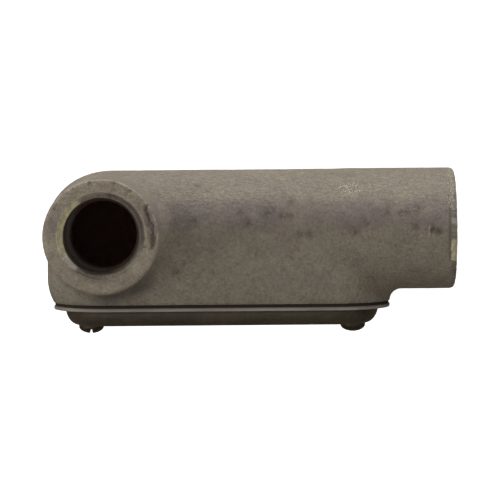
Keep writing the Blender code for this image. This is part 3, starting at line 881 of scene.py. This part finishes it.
# Painted shade in the bores and chamber: the threads dulled, then rust-brown to deep shade further in
DULL_IRON_IN_SHADE = (0.055, 0.048, 0.042, 1)
RUST_BROWN_SHADE = (0.050, 0.016, 0.008, 1)
DEEP_SHADE = (0.030, 0.010, 0.005, 1)

# The cover's enamel darkened as painted shade. Its flange edge is lighter, partly rubbed enamel and partly a painted
# highlight, and darker along its top
SHADED_COVER_ENAMEL = (0.029, 0.024, 0.016, 1)
SHADED_COVER_BROWN = (0.025, 0.018, 0.012, 1)
RUBBED_LIT_EDGE = (0.21, 0.182, 0.156, 1)
WORN_LIT_EDGE = (0.16, 0.137, 0.115, 1)
UPPER_EDGE = (0.085, 0.073, 0.06, 1)
COVER_FACE_ENAMEL = (0.085, 0.074, 0.057, 1)
SCRATCH = (0.17, 0.15, 0.12, 1)

DARK_PLATING = (0.009, 0.0065, 0.004, 1)
PALE_PLATING = (0.040, 0.028, 0.016, 1)
RUBBER = (0.006, 0.004, 0.002, 1)
DUSTY_RUBBER = (0.014, 0.009, 0.005, 1)
FLOOR_WHITE = (0.8, 0.8, 0.8, 1.0)
DIM_LIGHT = (1, 0.83, 0.63, 1)


class Shader:
    """A node tree with short calls for the nodes used here."""

    def __init__(self, owner, coordinates="Object"):
        self.owner = owner
        owner.use_nodes = True
        self.tree = owner.node_tree
        self.surface = self.tree.nodes.get("Principled BSDF")
        self.place = self.tree.nodes.new("ShaderNodeTexCoord").outputs[coordinates]

    def add(self, kind, values=(), **settings):
        made = self.tree.nodes.new(kind)
        for key, value in settings.items():
            setattr(made, key, value)
        for index, value in dict(values).items():
            self.set(made.inputs[index], value)
        return made

    def set(self, socket, value):
        if isinstance(value, bpy.types.NodeSocket):
            self.tree.links.new(value, socket)
        else:
            socket.default_value = value

    def noise(self, size, detail=3.0, rough=0.5, stretch=1.0):
        """Noise whose main features are about size millimetres across, and longer along the run, from 0 to 1."""
        place = self.place
        if stretch != 1.0:
            squeeze = {0: place, 1: (1 / stretch, 1, 1)}
            place = self.add("ShaderNodeVectorMath", squeeze, operation="MULTIPLY").outputs[0]
        values = {"Vector": place, "Scale": 1 / (size * MM), "Detail": detail, "Roughness": rough}
        return self.add("ShaderNodeTexNoise", values).outputs["Fac"]
    def range(self, value, low, high, to_low=0.0, to_high=1.0, kind="LINEAR"):
        values = {"Value": value, 1: low, 2: high, 3: to_low, 4: to_high}
        made = self.add("ShaderNodeMapRange", values, clamp=True, interpolation_type=kind)
        return made.outputs["Result"]

    def math(self, operation, a, b=0.0):
        return self.add("ShaderNodeMath", {0: a, 1: b}, operation=operation).outputs[0]

    def multiply(self, first, *others):
        for other in others:
            first = self.math("MULTIPLY", first, other)
        return first

    def mix(self, share, a, b, blend="MIX"):
        """Mixes two colours by a share from 0 to 1."""
        made = self.add("ShaderNodeMix", {0: share, 6: a, 7: b}, data_type="RGBA", blend_type=blend)
        return made.outputs[2]

    def shade(self, colour, factor):
        """A colour made lighter or darker by a factor that varies over the surface."""
        grey = self.add("ShaderNodeCombineXYZ", {0: factor, 1: factor, 2: factor}).outputs[0]
        return self.mix(1.0, colour, grey, "MULTIPLY")

    def speckle(self, colour, share, contrast):
        """A colour made darker at 0 and lighter at 1, a little more in blue, so that dark grains stay brown."""
        low = (*(1 - contrast * part for part in GRAIN_TINT), 1)
        high = (*(1 + contrast * part for part in GRAIN_TINT), 1)
        return self.mix(1.0, colour, self.mix(share, low, high), "MULTIPLY")

    def axis(self, index):
        return self.add("ShaderNodeSeparateXYZ", {0: self.place}).outputs[index]

    def attribute(self, name):
        return self.add("ShaderNodeAttribute", attribute_name=name).outputs["Fac"]

    def bump(self, height, depth):
        """A bump of up to depth millimetres."""
        return self.add("ShaderNodeBump", {"Height": height, "Distance": depth * MM}).outputs["Normal"]

    def finish(self, **sockets):
        for name, value in sockets.items():
            self.set(self.surface.inputs[name.replace("_", " ")], value)
        return self.owner


def new_shader(name):
    return Shader(bpy.data.materials.new(name))


def enamel_layer(s, base, brown):
    """Old grey enamel: slow clouds, brown patches, coarse grain. Gives the colour and the grain's height."""
    patches = s.range(s.noise(4.5, 5.0, 0.62), 0.40, 0.64, 0.0, 0.8)
    colour = s.mix(patches, base, brown)
    colour = s.shade(colour, s.range(s.noise(15.0, 3.0, 0.55), 0.3, 0.7, 0.93, 1.08))
    colour = s.speckle(colour, s.range(s.noise(1.7, 4.0, 0.65), 0.54, 0.72, 0.5, 0.0), 0.9 * GRAIN_CONTRAST)
    fine = s.noise(0.8, 4.0, 0.8)
    colour = s.speckle(colour, s.range(fine, 0.3, 0.7), GRAIN_CONTRAST)
    return colour, s.math("ADD", s.noise(1.8, 3.0, 0.6), fine)


def casting_enamel(s):
    """The casting's enamel, wrinkled in places with pale glints painted there as highlights, and a painted cool
    reflection above the middle. Gives the colour and the height.
    """
    colour, height = enamel_layer(s, ENAMEL, BROWN_ENAMEL)
    folds = s.noise(0.75, 3.0, 0.7, stretch=2.4)
    wrinkled = s.attribute("wrinkle")
    colour = s.mix(wrinkled, colour, s.speckle(colour, s.range(folds, 0.32, 0.68), 0.22))
    # painted highlights: fine pale glints where the enamel is wrinkled
    glints = s.range(s.noise(0.45, 2.0, 0.6), 0.58, 0.68, 0.0, 0.5)
    colour = s.mix(s.multiply(wrinkled, glints), colour, GLINT_SPECK)
    height = s.math("ADD", height, s.multiply(folds, wrinkled, 1.2))
    # painted reflection: a cool purple band above the middle of the rounded back
    reflection_share = s.multiply(s.attribute("cool_reflection"), s.range(s.noise(9.0, 3.0), 0.3, 0.6, 0.3, 0.9))
    return s.mix(reflection_share, colour, REFLECTION_TINT, "MULTIPLY"), height


def add_dirt_and_shade(s, colour):
    """Stains, darker hollows, loose flecks of paint and painted shade, including along the knocked edge."""
    blot = s.range(s.noise(1.0, 3.0, 0.6), 0.30, 0.54)
    stained = s.multiply(s.attribute("stain"), blot, 0.85)
    dirt = s.math("MAXIMUM", stained, s.multiply(s.attribute("groove"), 0.85))
    colour = s.mix(dirt, colour, DIRT_AND_SHADE)
    flecks = s.attribute("flecks")
    gaps = s.range(s.noise(0.5, 3.0, 0.7), 0.44, 0.52, 0.6, 0.0)
    colour = s.mix(s.multiply(flecks, gaps), colour, FLECK_GAP)
    dots = s.range(s.noise(0.42, 1.0, 0.4), 0.56, 0.62, 0.0, 0.9)
    colour = s.mix(s.multiply(flecks, dots), colour, PALE_FLECK)
    return s.mix(s.attribute("shaded"), colour, SHADE_TINT, "MULTIPLY")


def add_wear(s, colour):
    """Bare metal where the enamel is rubbed off, with a ragged border, made brighter on the lit bevel as a painted
    highlight.
    """
    ragged = s.math("ADD", s.attribute("wear"), s.multiply(s.noise(0.9, 3.0, 0.6), 0.8))
    bare = s.mix(s.attribute("yellow"), BARE_IRON, YELLOWED_IRON)
    # painted highlight: the bare bevel brightened where light falls on it
    bare = s.shade(bare, s.range(s.attribute("bevel_highlight"), 0.0, 1.0, 1.0, 1.6))
    bare = s.shade(bare, s.range(s.noise(1.4, 3.0), 0.35, 0.65, 0.75, 1.1))
    return s.mix(s.range(ragged, 0.85, 1.25), colour, bare)


def cast_iron():
    """Enamel on the sand casting, bare along its worn edges, with painted shade darkening its bores and chamber."""
    s = new_shader("enamel_on_cast_iron")
    colour, height = casting_enamel(s)
    ring, inside = s.attribute("ring"), s.attribute("inside")
    soiled = s.range(s.noise(4.0, 4.0, 0.6), 0.35, 0.65)
    colour = s.mix(ring, colour, s.mix(soiled, CLEAN_FACE_TINT, SOILED_FACE_TINT), "MULTIPLY")
    colour = add_wear(s, add_dirt_and_shade(s, colour))
    # Painted shade: the bores darken with depth, and the chamber is deep shade
    colour = s.mix(s.range(inside, 0.0, 0.5), colour, DULL_IRON_IN_SHADE)
    colour = s.mix(s.range(inside, 0.5, 1.0), colour, s.mix(s.noise(3.0), RUST_BROWN_SHADE, DEEP_SHADE))
    rough = s.range(s.noise(2.0, 3.0, 0.6), 0.3, 0.7, 0.42, 0.56)
    rough = s.math("ADD", rough, s.multiply(inside, 0.3))
    flatter = s.math("SUBTRACT", 1.0, s.multiply(ring, 0.6))
    normal = s.bump(s.multiply(height, flatter), CASTING_BUMP)
    return s.finish(Base_Color=colour, Roughness=rough, Normal=normal, Specular_IOR_Level=0.4, Specular_Tint=WARM)


def from_middle(s):
    """The distance from the line between the cover's two end centres, seen square to the cover."""
    along = s.axis(0)
    first, last = CROSSING.x + LEFT_CENTRE * MM, CROSSING.x + RIGHT_CENTRE * MM
    beyond = s.math("SUBTRACT", along, s.range(along, first, last, first, last))
    offset = s.add("ShaderNodeCombineXYZ", {0: beyond, 1: s.math("SUBTRACT", s.axis(2), CROSSING.z)}).outputs[0]
    return s.add("ShaderNodeVectorMath", {0: offset}, operation="LENGTH").outputs["Value"]


def pressed_steel():
    """Enamel on the pressed cover, painted dark as shade and handled on its dome, and lighter along the flange's edge,
    partly rubbed and partly a painted highlight.
    """
    s = new_shader("enamel_on_pressed_steel")
    colour, height = enamel_layer(s, SHADED_COVER_ENAMEL, SHADED_COVER_BROWN)
    colour = s.speckle(colour, s.range(s.noise(5.0, 3.0, stretch=2.5), 0.35, 0.65), 0.25)

    scratches = s.range(s.noise(0.6, 2.0, 0.5, stretch=14.0), 0.60, 0.70, 0.0, 0.35)
    face = s.mix(scratches, s.speckle(COVER_FACE_ENAMEL, s.noise(0.8, 4.0, 0.8), 0.5), SCRATCH)
    uneven = s.math("ADD", from_middle(s), s.multiply(s.noise(5.0), 4 * MM))
    handled = s.range(uneven, 9.5 * MM, 13.0 * MM, 1.0, 0.0)
    colour = s.mix(s.multiply(handled, s.range(s.noise(9.0, 3.0), 0.3, 0.6, 0.45, 1.0)), colour, face)

    flange_face = CROSSING.y + COVER_FLANGE_FACE * MM
    # the flange's edge: partly rubbed enamel and partly a painted highlight, darker along its upper part
    rubbed = s.mix(s.range(s.noise(4.0, 3.0, stretch=3.0), 0.35, 0.65), RUBBED_LIT_EDGE, WORN_LIT_EDGE)
    upper = s.range(s.axis(1), flange_face + 0.5 * MM, flange_face + 1.3 * MM)
    rubbed = s.mix(upper, rubbed, UPPER_EDGE)
    colour = s.mix(s.range(s.axis(1), flange_face - 0.2 * MM, flange_face + 0.1 * MM), colour, rubbed)
    rough = s.range(s.noise(2.0, 3.0, 0.6), 0.3, 0.7, 0.4, 0.52)
    normal = s.bump(height, COVER_BUMP)
    return s.finish(Base_Color=colour, Roughness=rough, Normal=normal, Specular_IOR_Level=0.3, Specular_Tint=WARM)


def dull_steel():
    """Darkened plating on the screws."""
    s = new_shader("dull_plated_steel")
    colour = s.mix(s.range(s.noise(0.9, 4.0, 0.6), 0.42, 0.68), DARK_PLATING, PALE_PLATING)
    rough = s.range(s.noise(0.5, 3.0, 0.6), 0.3, 0.7, 0.36, 0.58)
    normal = s.bump(s.noise(0.35), SCREW_BUMP)
    return s.finish(
        Base_Color=colour, Metallic=0.3, Roughness=rough, Normal=normal, Specular_IOR_Level=0.35, Specular_Tint=WARM
    )


def black_rubber():
    """The gasket's rubber."""
    s = new_shader("black_rubber")
    colour = s.mix(s.noise(1.0), RUBBER, DUSTY_RUBBER)
    normal = s.bump(s.noise(0.5), RUBBER_BUMP)
    return s.finish(Base_Color=colour, Roughness=0.85, Normal=normal, Specular_IOR_Level=0.25)


# Stage, light and camera

def stage():
    """A pale floor under a white tent, which don't throw their own glow back onto the part."""
    mesh = bpy.data.meshes.new("floor")
    half = TENT_RADIUS
    mesh.from_pydata([(-half, -half, 0), (half, -half, 0), (half, half, 0), (-half, half, 0)], [], [(0, 1, 2, 3)])
    heights = list(half * np.sin(np.linspace(-0.01, math.pi / 2 - 0.01, 24)))
    tent = turned_mesh("tent", heights, lambda angle, height: np.sqrt(half**2 - height**2), 64)
    s = new_shader("pale_floor")
    s.finish(Base_Color=FLOOR_WHITE, Roughness=0.9, Emission_Color=FLOOR_WHITE, Emission_Strength=FLOOR_GLOW)
    for piece in (new_object("floor", mesh), tent):
        piece.data.materials.append(s.owner)
        piece.visible_diffuse = False
        piece.visible_glossy = False
        piece.visible_shadow = False


def soft_box(s, angle, middle, half, level):
    """A band of light round the run's axis, with soft borders."""
    away = s.math("ABSOLUTE", s.math("SUBTRACT", angle, math.radians(middle)))
    edge = math.radians(half)
    fade = math.radians(BAND_FADE / 2)
    return s.range(away, edge - fade, edge + fade, level, 0.0, "SMOOTHSTEP")


def lighting():
    """A soft studio: a wide light above, stronger from the left, a strong one behind the rounded back, and a glow."""
    world = bpy.data.worlds.new("soft_studio")
    bpy.context.scene.world = world
    s = Shader(world, "Generated")
    angle = s.math("ARCTAN2", s.axis(1), s.axis(2))
    lean = s.range(s.axis(0), -1.0, 1.0, *LEAN)
    light = s.math("ADD", s.multiply(soft_box(s, angle, *TOP_BAND), lean), soft_box(s, angle, *BACK_BAND))
    background = world.node_tree.nodes["Background"]
    s.set(background.inputs["Color"], s.mix(s.range(light, 0.0, 0.5), DIM_LIGHT, WHITE))
    s.set(background.inputs["Strength"], s.math("ADD", light, AMBIENT))


def camera():
    """The camera, nearly straight above the part."""
    data = bpy.data.cameras.new("camera")
    data.lens = CAMERA_LENS
    data.sensor_width = CAMERA_SENSOR
    data.clip_end = CAMERA_SIGHT
    piece = bpy.data.objects.new("camera", data)
    bpy.context.scene.collection.objects.link(piece)
    towards = Vector((0, math.sin(CAMERA_TILT), math.cos(CAMERA_TILT)))
    place = TO_FRAME @ (CAMERA_TARGET + towards * CAMERA_DISTANCE)
    turn = Matrix.Rotation(-CAMERA_TILT, 4, "X") @ Matrix.Rotation(-CAMERA_ROLL, 4, "Z")
    piece.matrix_world = Matrix.Translation(place) @ turn
    bpy.context.scene.camera = piece


def dress(piece, material):
    """Gives a piece its one material."""
    piece.data.materials.clear()
    piece.data.materials.append(material)


def stand_in(piece, body, node):
    """Declares a piece: the body it rides on, and the CAD node that it replaces."""
    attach(piece, body)
    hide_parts(node)


def main():
    bpy.context.scene.view_settings.view_transform = "Standard"
    stage()
    lighting()
    camera()

    body = casting()
    paint(body)
    settle(body, SHARP_CASTING)
    dress(body, cast_iron())
    stand_in(body, "casting", "body_casting")

    steel = dull_steel()
    left = cover_screw("left_screw", SCREW_X[0], SLOT_TURNS[0])
    dress(left, steel)
    stand_in(left, "left_screw", "left_cover_screw")
    right = cover_screw("right_screw", SCREW_X[1], SLOT_TURNS[1])
    dress(right, steel)
    stand_in(right, "right_screw", "right_cover_screw")

    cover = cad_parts["cover"]
    dress(cover, pressed_steel())
    smooth(cover, SHARP_SHEET)
    gasket = squeezed_gasket()
    dress(gasket, black_rubber())
    stand_in(gasket, "cover_assembly", "gasket")
    smooth(gasket, SHARP_SHEET)


main()
